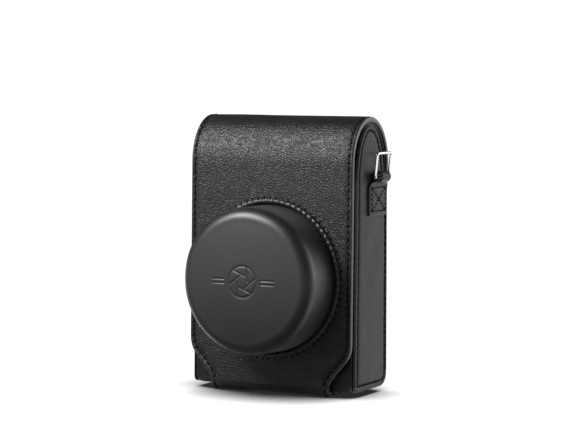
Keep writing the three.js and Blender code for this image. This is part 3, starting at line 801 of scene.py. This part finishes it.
flap_outline = np.vstack([flap_side(0, PATH_END), mirrored(flap_side(0, PATH_END))])
cup_hole = arc((0, CUP_Z - FLAP_BOTTOM), CUP_HOLE_R, CUP_HOLE_R, 0, 360, 120)[:-1]
flap_seam_line = flap_side(FLAP_SEAM, PATH_END - 1.2)
flap_seams = [Seam(flap_seam_line), Seam(mirrored(flap_seam_line))]


def dents(seams, points):
    total = np.zeros(len(points))
    for seam in seams:
        total += seam.dent(points)
    return total


def flap_top(points, d):
    swell = soft_waves(points, 16.0, 0.06, 0.7)
    return swell * np.clip(d / 3, 0, 1) - rolled(d, 0.75) - dents(flap_seams, points)


def flap_under(points, d):
    inner = np.clip((d - 2.1) / 0.5, 0, 1)
    hole = np.hypot(points[:, 0], points[:, 1] - CUP_Z + FLAP_BOTTOM) < CUP_BOARD_R
    return np.where(hole, LEATHER, FLAP_EDGE + (LEATHER - FLAP_EDGE) * inner) - rolled(d, 0.3)


def build_flap():
    make_cover("flap_cover", "grain_leather", "flap", ["flap_leather"], flap_outline, on_flap,
               flap_top, flap_under, holes=[cup_hole], seams=flap_seams, joins=(0.0, PATH_END))
    for seam, side in zip(flap_seams, ("right", "left")):
        sew(f"flap_stitches_{side}", "flap", [f"flap_thread_{side}"], [seam], on_flap, -0.2)


# ---------------------------------------------------------------- the fold and the tongue

TONGUE_LENGTH = tongue_high[1] - fold_axis[1]
FOLD_LENGTH = math.pi / 2 * FOLD_R
GAP_ABOVE = FLAP_BOTTOM - FOLD_R


def on_tongue(u, v, h):
    """v = 0 where the flap ends, then down, round the fold, and back under the base."""
    angle = np.clip((v - GAP_ABOVE) / FOLD_R, 0, math.pi / 2)
    past = np.clip(v - GAP_ABOVE - FOLD_LENGTH, 0, None)
    above = np.clip(GAP_ABOVE - v, 0, None)
    r = FOLD_R + h
    y = fold_axis[1] - r * np.cos(angle) + past
    z = FOLD_R - r * np.sin(angle) + above
    return np.stack([u, y, z], -1)


def build_tongue():
    length = GAP_ABOVE + FOLD_LENGTH + TONGUE_LENGTH
    corner, snap_hole_r = 7.0, 5.4
    right = arc((NECK_HALF - corner, length - corner), corner, corner, 0, 90, 10)
    outline = np.vstack([[[-NECK_HALF, 0.0], [NECK_HALF, 0.0]], right, mirrored(right)])
    snap_v = length - (tongue_high[1] - (snap_low[1] + snap_high[1]) / 2)
    hole = arc((0, snap_v), snap_hole_r, snap_hole_r, 0, 360, 40)[:-1]
    line = np.vstack([
        [[NECK_HALF - FLAP_SEAM, 1.5]],
        arc((NECK_HALF - corner, length - corner), corner - FLAP_SEAM, corner - FLAP_SEAM, 0, 90, 10),
        arc((corner - NECK_HALF, length - corner), corner - FLAP_SEAM, corner - FLAP_SEAM, 90, 180, 10),
        [[FLAP_SEAM - NECK_HALF, 1.5]]])
    seam = Seam(line)

    def top(points, d):
        return -rolled(d, 0.75) - seam.dent(points)

    def under(points, d):
        flat = np.clip((points[:, 1] - GAP_ABOVE - FOLD_LENGTH + 1.5) / 1.5, 0, 1)
        return FLAP_EDGE + (LEATHER - FLAP_EDGE) * flat - rolled(d, 0.3)

    piece = make_cover("tongue_cover", "grain_leather", None, ["tongue_leather", "tongue_fold"], outline,
                       on_tongue, top, under, holes=[hole], seams=[seam], fill=1.6, joins=(0.0,))
    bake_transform(piece)
    thread = sew("tongue_stitches", None, (), [seam], on_tongue, -0.3, rise=0.1)
    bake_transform(thread)


# ---------------------------------------------------------------- the back, base and hinge

BACK_CORNER = 6.0                # rounding between the back and the base
BACK_TOP = back_high[2]
BASE_FRONT = base_low[1]
BASE_Z = 2.6                     # underside of the base, close over the tongue
BACK_PIVOT = np.array([BACK - BACK_CORNER, BASE_Z + BACK_CORNER])
FRAME_CORNER = 3.0               # rounding of the lip's bottom corners
GUSSET_LEATHER = 1.0
GUSSET_INNER = OUTER - GUSSET_LEATHER
RUN_BASE = BACK_PIVOT[0] - BASE_FRONT
RUN_CORNER = math.pi / 2 * BACK_CORNER
RUN_BACK = BACK_TOP - BACK_PIVOT[1]


def on_shell(u, v, h):
    """v = 0 at the front of the base, then back along it, round the corner and up the back."""
    before = np.clip(v, None, RUN_BASE)
    angle = np.clip((v - RUN_BASE) / BACK_CORNER, 0, math.pi / 2)
    past = np.clip(v - RUN_BASE - RUN_CORNER, 0, None)
    r = BACK_CORNER + h
    z = BACK_PIVOT[1] - r * np.cos(angle) + past
    y = BACK_PIVOT[0] + (before - RUN_BASE) + r * np.sin(angle) + back_curve(z)
    return np.stack([u, y, z], -1)


def build_shell():
    end = RUN_BASE + RUN_CORNER + RUN_BACK
    between, step = GUSSET_INNER - 0.3, RUN_BASE + RUN_CORNER
    right = np.vstack([
        bezier((between - 1.2, 0), (between, 0), (between, 1.2), 4),
        [[between, step - 0.1], [between + 0.2, step + 0.3], [OUTER, step + 0.3], [OUTER, end]],
    ])
    outline = np.vstack([right, mirrored(right)])
    x, start, stop = OUTER - FLAP_SEAM, step + 1, end - 4
    seams = [Seam([[x, start], [x, stop]]), Seam([[-x, start], [-x, stop]])]

    def top(points, d):
        swell = soft_waves(points, 18.0, 0.05, 2.1)
        return swell * np.clip(d / 3, 0, 1) - rolled(d, 0.6) - dents(seams, points)

    def under(points, d):
        return LEATHER - rolled(d, 0.3)

    make_cover("back_and_base", "smooth_leather", "case_body", ["back_panel", "base_panel"], outline,
               on_shell, top, under, seams=seams, joins=(end,))
    for seam, side in zip(seams, ("right", "left")):
        sew(f"back_stitches_{side}", "case_body", [f"back_thread_{side}"], [seam], on_shell, -0.2)


def build_hinge():
    """The strip of the same leather that bends when the flap opens."""
    low, high = BACK_TOP, FLAP_BACK_Z
    rows = np.linspace(low, high, 22)
    columns = np.linspace(-1, 1, 60)
    profile = []
    for k, z in enumerate(rows):
        share = (z - low) / (high - low)
        half = OUTER + (FLAP_HALF - OUTER) * share
        depth = LEATHER + (FLAP_EDGE - LEATHER) * share
        outer = BACK + back_curve(z)
        outside = [(half * c, outer - rolled(half * (1 - abs(c)), 0.7), z) for c in columns]
        inner = [(half * c * 0.998, outer - depth, z) for c in columns[::-1]]
        profile.append(outside + inner)
    n = len(profile[0])
    verts = np.array(profile).reshape(-1, 3)
    faces = grid_faces(len(rows), n)
    for first in (0, (len(rows) - 1) * n):
        faces += [[first + j, first + j + 1, first + n - 2 - j, first + n - 1 - j]
                  for j in range(len(columns) - 1)]
    piece = make_object("hinge_leather", verts, faces, "smooth_leather", None, ["hinge_fold"])
    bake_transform(piece)


# ---------------------------------------------------------------- gussets

GUSSET_FRONT = BACK - 32.5
GUSSET_CORNER = 2.5              # rounding of its lower front corner
GUSSET_LOW, GUSSET_TOP = BASE_Z, gusset_high[2]
ARCH_REAR = BACK - 3.6


def gusset_outline(inset):
    """Side view of a gusset, drawn inwards by inset."""
    front, bottom = GUSSET_FRONT + inset, GUSSET_LOW + inset
    rear, arch_rear = BACK - max(inset, LEATHER + 0.3), ARCH_REAR - inset
    corner = max(GUSSET_CORNER - inset, 0.6)
    turn = BACK_CORNER - inset
    heel = arc((BACK - BACK_CORNER, GUSSET_LOW + BACK_CORNER), turn, turn, 270, 360, 14)
    return np.vstack([
        arc((front + corner, bottom + corner), corner, corner, 180, 270, 6),
        heel,
        [[rear - 0.01, heel[-1, 1] + 0.05],
         [rear, GUSSET_ARCH_Z - 4.5 - inset * 0.5],
         [arch_rear, GUSSET_ARCH_Z - 1 - inset * 0.5]],
        arc(((front + arch_rear) / 2, GUSSET_ARCH_Z), (arch_rear - front) / 2,
            GUSSET_TOP - GUSSET_ARCH_Z - inset, 0, 180, 60),
    ])


def build_gusset(name, side):
    outline = gusset_outline(0)
    loop = gusset_outline(GUSSET_SEAM)
    seam = Seam(loop, closed=True)

    def place(u, v, h):
        return np.stack([side * (OUTER + h), u, v], -1)

    def top(points, d):
        soft = soft_waves(points, 13.0, 0.07, 3.3 + side)
        return soft * np.clip(d / 4, 0, 1) - rolled(d, 0.7) - seam.dent(points)

    def under(points, d):
        return GUSSET_LEATHER - rolled(d, 0.25)

    make_cover(f"gusset_cover_{name}", "smooth_leather", "case_body", [f"gusset_{name}"], outline,
               place, top, under, seams=[seam], fill=2.0)
    y, z = seam.at(np.array([sum(span) / 2 for span in seam.spans])).T
    hidden = (z > tab_low[2] - 0.5) & (z < tab_high[2] + 0.5) & (y > tab_low[1] - 1)
    seam.spans = [span for span, gone in zip(seam.spans, hidden) if not gone]
    sew(f"gusset_stitches_{name}", "case_body", [f"gusset_thread_{name}"], [seam], place, -0.2)


# ---------------------------------------------------------------- front lip and rails

def build_front():
    half = lip_high[0]

    def place(u, v, h):
        curl = np.clip(BASE_Z + 2.6 - v, 0, None) * 0.35
        return np.stack([u, lip_low[1] - h + curl, v], -1)

    def make(name, outline, node):
        def top(points, d):
            return soft_waves(points, 12.0, 0.05, 5.0) * np.clip(d / 3, 0, 1) - rolled(d, 0.6)

        def under(points, d):
            return LEATHER - rolled(d, 0.25)

        make_cover(name, "smooth_leather", "case_body", [node], outline, place, top, under, fill=2.5)

    low, high = BASE_Z, lip_high[2]
    right = np.vstack([
        arc((half - FRAME_CORNER, low + FRAME_CORNER), FRAME_CORNER, FRAME_CORNER, 270, 360, 10),
        bezier((half, high - 1.2), (half, high), (half - 1.2, high), 5)])
    make("lip_cover", np.vstack([right, mirrored(right)]), "front_lip")
    for name, side in (("right", 1), ("left", -1)):
        a, b = side * rail_low[0], side * rail_high[0]
        outline = [[a, rail_low[2]], [b, rail_low[2]], [b, rail_high[2]], [a, rail_high[2]]]
        outline = rounded(outline if side > 0 else outline[::-1], 1.2)
        make(f"rail_cover_{name}", outline, f"front_rail_{name}")


# ---------------------------------------------------------------- lens cup

CUP_BASE_R = 33.3
CUP_TOP_R = 33.1
CUP_EDGE = 6.0
CUP_WALL = 1.5
CUP_DOME = 1.6                   # how far the face rises to its middle
CUP_FLANGE_R = 37.0
FLANGE = 0.7                     # thickness
CUP_TURNS = 300
GATHERS = 74                     # stitches round the cup
MARK_R = 7.0
MARK_FIELD_R = 17.3              # the face is meshed finely inside this
MARK_DEPTH = 0.22


def mark(x, z):
    """Generic pressed mark: a six-bladed iris between two short rules. 1 inside its lines."""
    points = np.stack([x, z], 1)
    gap = np.abs(np.hypot(x, z) - MARK_R) - 0.42
    for k in range(6):
        a = math.radians(60 * k)
        b = a + math.radians(74)
        start = np.array([[2.9 * math.cos(a), 2.9 * math.sin(a)]])
        end = np.array([[MARK_R * math.cos(b), MARK_R * math.sin(b)]])
        gap = np.minimum(gap, distance_to_lines(points, start, end) - 0.3)
    for side in (1, -1):
        for rise in (-0.9, 0.9):
            start, end = np.array([[side * 9.4, rise]]), np.array([[side * 15.5, rise]])
            gap = np.minimum(gap, distance_to_lines(points, start, end) - 0.26)
    soft = np.clip((gap + 0.25) / 0.6, 0, 1)
    return 1 - soft * soft * (3 - 2 * soft)


def cup_profile():
    """(radius, forward of the flap's face) from the foot to the middle of the cup's face."""
    edge = CUP_DEPTH - CUP_DOME
    wall = [(CUP_BASE_R + (CUP_TOP_R - CUP_BASE_R) * t ** 0.8, t * (edge - CUP_EDGE))
            for t in np.linspace(0, 1, 14)]
    front = CUP_TOP_R - CUP_EDGE
    turn = arc((front, edge - CUP_EDGE), CUP_EDGE, CUP_EDGE, 0, 86, 20)[1:]
    radii = np.concatenate([np.linspace(front - 0.6, 17.5, 8), np.arange(17.15, 0.3, -0.35)])
    face = [(r, edge + CUP_DOME * (1 - (r / front) ** 2)) for r in radii]
    return np.array([*wall, *turn, *face])


def build_cup():
    profile = cup_profile()
    turns = np.linspace(0, 2 * math.pi, CUP_TURNS, endpoint=False)

    def turned(points):
        r, forward = points[:, 0, None], points[:, 1, None]
        return np.stack([r * np.cos(turns), FRONT - forward + 0 * turns, CUP_Z + r * np.sin(turns)], -1)

    outer = turned(profile)
    x, z = outer[..., 0], outer[..., 2] - CUP_Z
    pressed = mark(x.ravel(), z.ravel()).reshape(x.shape) * (profile[:, 0, None] < MARK_FIELD_R)
    outer[..., 1] += MARK_DEPTH * pressed
    slack = 0.10 * np.sin(3 * turns + 0.5) + 0.06 * np.sin(7 * turns + 2.0)
    foot = np.exp(-profile[:, 1] / 2.2)
    gathers = 0.16 * np.cos(turns * GATHERS)[None] * foot[:, None]
    push = slack[None] * np.clip(profile[:, 1, None] / 8, 0, 1) * (profile[:, 0, None] > 24) + gathers
    outer[..., 0] += push * np.cos(turns)
    outer[..., 2] += push * np.sin(turns)

    inner_r, inner_forward = profile[profile[:, 0] < CUP_BASE_R - 0.01][::3].T
    inner_r = np.maximum(inner_r - CUP_WALL * np.clip((inner_r - 20) / 8, 0, 1), 0.2)
    inner = turned(np.stack([inner_r, inner_forward - CUP_WALL], 1)[::-1])
    behind = -(CUP_WALL + FLANGE)
    rear = turned(np.array([[CUP_BASE_R - CUP_WALL, behind], [CUP_FLANGE_R, behind],
                            [CUP_FLANGE_R, behind + FLANGE], [CUP_BASE_R + 0.05, behind + FLANGE]]))
    rows = np.concatenate([inner, rear, outer])
    n = CUP_TURNS
    faces = grid_faces(len(rows), n)
    inner_centre = [0, inner[0, :, 1].mean(), CUP_Z]
    outer_centre = [0, outer[-1, :, 1].mean(), CUP_Z]
    verts = np.vstack([rows.reshape(-1, 3), [inner_centre, outer_centre]])
    last = (len(rows) - 1) * n
    faces += [[j, (j + 1) % n, len(verts) - 2] for j in range(n)]
    faces += [[last + (j + 1) % n, last + j, len(verts) - 1] for j in range(n)]
    make_object("cup_cover", verts, faces, "cup_leather", "flap", ["lens_cup"])


def build_rim():
    """Gathered welt: its crown rises and falls with the stitches that pull it down."""
    width, rise = 2.3, 1.35
    turns = np.linspace(0, 2 * math.pi, 600, endpoint=False)
    lobes = np.cos(turns * GATHERS)
    rows = []
    for a in np.linspace(0, math.pi, 14):
        height = rise * (1 + 0.13 * lobes) * math.sin(a) ** 0.85
        radius = RIM_R - width / 2 + (width / 2 + 0.10 * lobes * (a < 1.2)) * math.cos(a)
        rows.append(np.stack([radius * np.cos(turns), FRONT - 0.12 - height,
                              CUP_Z + radius * np.sin(turns)], -1))
    faces = grid_faces(len(rows), len(turns), closed=True)
    make_object("rim_cover", np.array(rows).reshape(-1, 3), faces, "cup_leather", "flap", ["cup_rim"])

    parts = []
    t = np.linspace(0, 1, 7)
    sides = np.linspace(0, 2 * math.pi, 8, endpoint=False)
    for k in range(GATHERS):
        a = 2 * math.pi * (k + 0.5) / GATHERS
        radial = np.array([math.cos(a), 0, math.sin(a)])
        across = np.array([-math.sin(a), 0, math.cos(a)])
        r = RIM_R - 0.95 + 2.5 * t
        lift = 0.85 * np.clip(1 - t * 1.9, 0, 1) + 0.12 * np.sin(math.pi * t) - 0.5 * t ** 6
        centre = radial * r[:, None] + np.array([0, FRONT, CUP_Z]) - np.array([0, 1, 0]) * lift[:, None]
        up = np.array([0, -1.0, 0])
        rings = centre[:, None] + THREAD_R * (
            np.cos(sides)[None, :, None] * up + np.sin(sides)[None, :, None] * across)
        parts.append(strand(rings))
    verts, faces = joined(parts)
    make_object("cup_stitches", verts, faces, "thread", "flap", ["cup_thread"])


# ---------------------------------------------------------------- strap tabs and rings

TAB_LEATHER = 1.05
TAB_HALF = (tab_high[1] - tab_low[1]) / 2
TAB_FLAT = 13.3                  # height of the part sewn to the gusset
EYE_HALF = 4.3                   # half width of the eye that holds the ring
EYE_R = 2.6
RING_HALF = 6.9
RING_TALL = 10.8
RING_WIRE = 0.6                  # radius
RING_TILT = math.radians(6)


def tab_path():
    """The strap's outer face seen along Y: up the gusset, out, round the ring's bar, and in behind."""
    face = tab_low[0] + 1.0
    z0 = tab_low[2]
    turn = (ring_axis[0], ring_axis[2])
    eye = arc(turn, EYE_R, EYE_R, -80, 180, 40)
    line = np.vstack([
        [[face, z0]],
        bezier((face, z0 + TAB_FLAT), eye[0] - (1.6, 0.28), eye[0], 10),
        eye[1:],
        [[turn[0] - EYE_R, turn[1] - 2.2]],
    ])
    return subdivide(line, 0.25, closed=False)


def build_tab(name, side):
    end, at = bent_strip(tab_path())

    def place(u, v, h):
        x, z = at(v, h)
        return np.stack([side * x, ring_axis[1] + u, z], -1)

    right = np.vstack([
        bezier((TAB_HALF - 1, 0), (TAB_HALF, 0), (TAB_HALF, 1), 4),
        bezier((TAB_HALF, TAB_FLAT - 0.8), (TAB_HALF, TAB_FLAT + 0.4),
               (TAB_HALF - 1.2, TAB_FLAT + 1.0), 6),
        bezier((EYE_HALF + 1.0, TAB_FLAT + 2.2), (EYE_HALF, TAB_FLAT + 2.8),
               (EYE_HALF, TAB_FLAT + 4.4), 6),
        [[EYE_HALF, end]],
    ])
    a, c, d = TAB_HALF - FLAP_SEAM, FLAP_SEAM, TAB_FLAT - 0.8
    fine = {"pitch": 2.2, "stitch": 1.5, "groove": 0.18, "hole": 0.2}
    seams = [
        Seam([[-a, c], [a, c], [a, d], [-a, d]], closed=True, **fine),
        Seam([[-a, c], [a, d]], **fine),
        Seam([[a, c], [-a, d]], **fine),
    ]

    def top(points, dist):
        return -rolled(dist, 0.5) - dents(seams, points)

    def under(points, dist):
        return TAB_LEATHER - rolled(dist, 0.25)

    outline = np.vstack([right, mirrored(right)])
    make_cover(f"tab_cover_{name}", "smooth_leather", "case_body", [f"ring_tab_{name}"], outline, place,
               top, under, lean=False, seams=seams, edge_step=0.6, fill=1.0)
    sew(f"tab_stitches_{name}", "case_body", [f"tab_thread_{name}"], seams, place, -0.16, radius=0.22,
        lean=False)


def build_ring(name, side):
    """Rectangular wire ring with tight corners, leaning a little outwards."""
    out, up = math.sin(RING_TILT), math.cos(RING_TILT)
    flat = [[-RING_HALF, 0], [RING_HALF, 0], [RING_HALF, RING_TALL], [-RING_HALF, RING_TALL]]
    flat = subdivide(rounded(flat, 1.0, 6), 1.0)
    centre = np.stack([side * (ring_axis[0] + flat[:, 1] * out),
                       ring_axis[1] + flat[:, 0],
                       ring_axis[2] + flat[:, 1] * up], 1)
    along = unit_rows(np.roll(centre, -1, 0) - np.roll(centre, 1, 0))
    face = np.array([side * up, 0, -out])
    across = np.cross(along, face)
    a = np.linspace(0, 2 * math.pi, 16, endpoint=False)
    rings = centre[:, None] + RING_WIRE * (
        np.cos(a)[None, :, None] * face + np.sin(a)[None, :, None] * across[:, None])
    faces = grid_faces(len(centre), len(a), closed=True)
    make_object(f"ring_wire_{name}", rings.reshape(-1, 3), faces, "polished_steel", f"ring_{name}",
                [f"strap_ring_{name}"], lean=False)


# ---------------------------------------------------------------- belt loop

BELT_HALF_LEATHER = 0.9


def build_belt_loop():
    half = belt_high[0]
    low, high = belt_low[2], belt_high[2]
    near, far = belt_low[1] + BELT_HALF_LEATHER, belt_high[1] - BELT_HALF_LEATHER
    foot = 9.0
    side_view = np.vstack([
        [[near, low]],
        bezier((near, low + foot - 1.5), (near, low + foot + 1.5), (near + 2.4, low + foot + 3.5), 8),
        bezier((far - 2.0, low + foot + 4.6), (far, low + foot + 6.2), (far, low + foot + 9), 8),
        bezier((far, high - foot - 9), (far, high - foot - 6.2), (far - 2.0, high - foot - 4.6), 8),
        bezier((near + 2.4, high - foot - 3.5), (near, high - foot - 1.5), (near, high - foot + 1.5), 8),
        [[near, high]],
    ])
    end, at = bent_strip(subdivide(side_view, 0.6, closed=False))

    def place(u, v, h):
        return np.stack([u, *at(v, h)], -1)

    outline = rounded([[-half, 0], [half, 0], [half, end], [-half, end]], 1.5)
    inset = 1.8
    x = half - inset
    seams = [Seam([[-x, a], [x, a], [x, b], [-x, b]], closed=True)
             for a, b in ((inset, foot - 1.2), (end - foot + 1.2, end - inset))]

    def top(points, d):
        return BELT_HALF_LEATHER - rolled(d, 0.6) - dents(seams, points)

    def under(points, d):
        return BELT_HALF_LEATHER - rolled(d, 0.3)

    make_cover("belt_loop_cover", "smooth_leather", "case_body", ["belt_loop"], outline, place, top,
               under, seams=seams, fill=2.0)
    for seam, name in zip(seams, ("lower", "upper")):
        sew(f"belt_stitches_{name}", "case_body", [f"belt_loop_thread_{name}"], [seam], place, 0.7)


# ---------------------------------------------------------------- build

build_flap()
build_tongue()
build_shell()
build_hinge()
build_front()
build_cup()
build_rim()
build_belt_loop()
for name, side in (("right", 1), ("left", -1)):
    build_gusset(name, side)
    build_tab(name, side)
    build_ring(name, side)

slots = {part["node"]: part["material_slot"] for part in frame["record"]["subparts"]}
for node, part in frame["nodes"].items():
    part.data.materials.clear()
    part.data.materials.append(MATERIALS[slots[node]])
